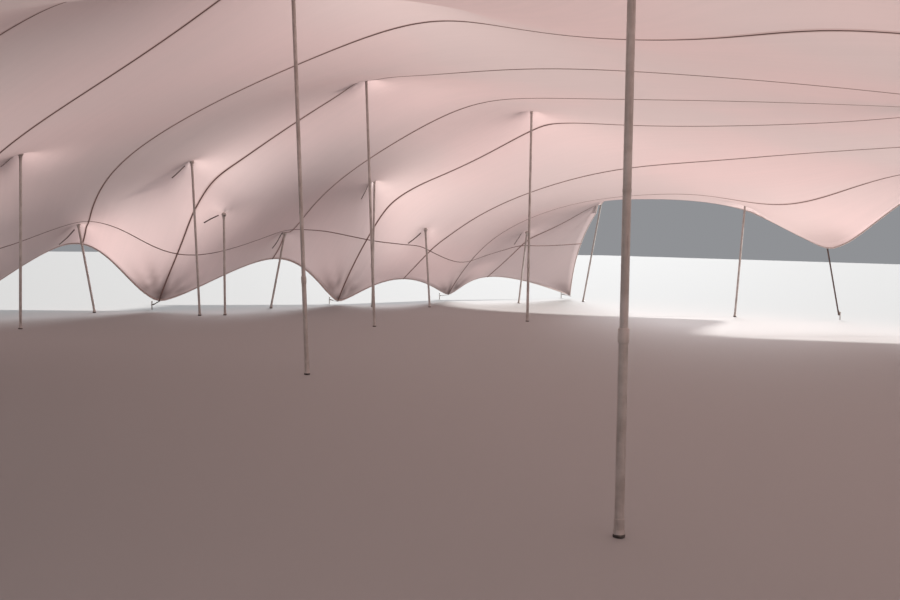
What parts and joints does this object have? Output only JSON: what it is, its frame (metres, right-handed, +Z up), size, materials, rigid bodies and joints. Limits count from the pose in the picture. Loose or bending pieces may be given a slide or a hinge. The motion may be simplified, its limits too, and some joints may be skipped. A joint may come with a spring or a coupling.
{
  "type": "stretch tent",
  "caption": "Freeform stretch tent: one elastic fabric sheet pushed up by poles in peaks, pulled down to ground pegs along two scalloped sides and open on the other two",
  "frame": {"origin": "centre of the tent's box at ground level", "axes": "+Z up; X along the fabric seams from the west edge to the east edge; Y across the panels, +Y towards the north edge"},
  "size_m": [24.982, 22.39, 4.868],
  "materials": {
    "canopy_fabric": "matte translucent stretch knit",
    "pole_tube": "weathered satin"
  },
  "bodies": {
    "root": {"canopy_bay_1": "canopy_fabric", "canopy_bay_2": "canopy_fabric", "canopy_bay_3": "canopy_fabric", "canopy_bay_4": "canopy_fabric", "canopy_bay_5": "canopy_fabric", "canopy_bay_6": "canopy_fabric", "canopy_bay_7": "canopy_fabric", "main_pole_1": "pole_tube", "main_pole_2": "pole_tube", "main_pole_3": "pole_tube", "main_pole_4": "pole_tube", "main_pole_5": "pole_tube", "side_pole_west_1": "pole_tube", "side_pole_west_2": "pole_tube", "side_pole_west_3": "pole_tube", "side_pole_west_4": "pole_tube", "side_pole_east_1": "pole_tube", "side_pole_east_2": "pole_tube", "side_pole_east_3": "pole_tube", "side_pole_east_4": "pole_tube", "edge_pole_west_1": "pole_tube", "edge_pole_west_2": "pole_tube", "edge_pole_west_3": "pole_tube", "edge_pole_west_4": "pole_tube", "edge_pole_west_5": "pole_tube", "edge_pole_west_6": "pole_tube", "edge_pole_east_1": "pole_tube", "edge_pole_east_2": "pole_tube", "edge_pole_east_3": "pole_tube", "edge_pole_east_4": "pole_tube", "edge_pole_east_5": "pole_tube", "edge_pole_east_6": "pole_tube", "edge_pole_north_1": "pole_tube", "edge_pole_north_2": "pole_tube", "edge_pole_north_3": "pole_tube", "edge_pole_north_4": "pole_tube", "edge_pole_north_5": "pole_tube", "edge_pole_south_1": "pole_tube", "edge_pole_south_2": "pole_tube", "edge_pole_south_3": "pole_tube", "edge_pole_south_4": "pole_tube", "edge_pole_south_5": "pole_tube"}
  },
  "joints": []
}
